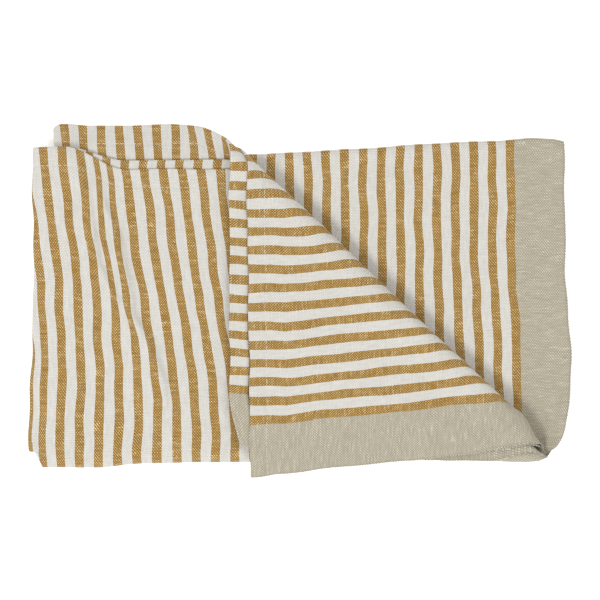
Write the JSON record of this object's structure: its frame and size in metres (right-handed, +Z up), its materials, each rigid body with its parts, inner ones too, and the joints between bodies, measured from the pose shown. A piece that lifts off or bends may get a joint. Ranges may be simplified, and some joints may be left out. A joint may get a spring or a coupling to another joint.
{
  "type": "tea towel",
  "caption": "Folded tea towel in striped woven cloth, lying flat in layers with one corner turned over in a diagonal roll.",
  "frame": {"origin": "middle of the folded towel's outline, on the surface that it lies on", "axes": "+X along the folded towel's longer side, towards its selvedges; +Y towards the edge with the stepped hems; +Z up, away from the surface"},
  "size_m": [0.2738, 0.1758, 0.019],
  "materials": {
    "linen": "matt plain weave, ochre and off-white stripes with greige selvedge bands"
  },
  "bodies": {
    "root": {"towel_cloth": "linen"}
  },
  "joints": []
}
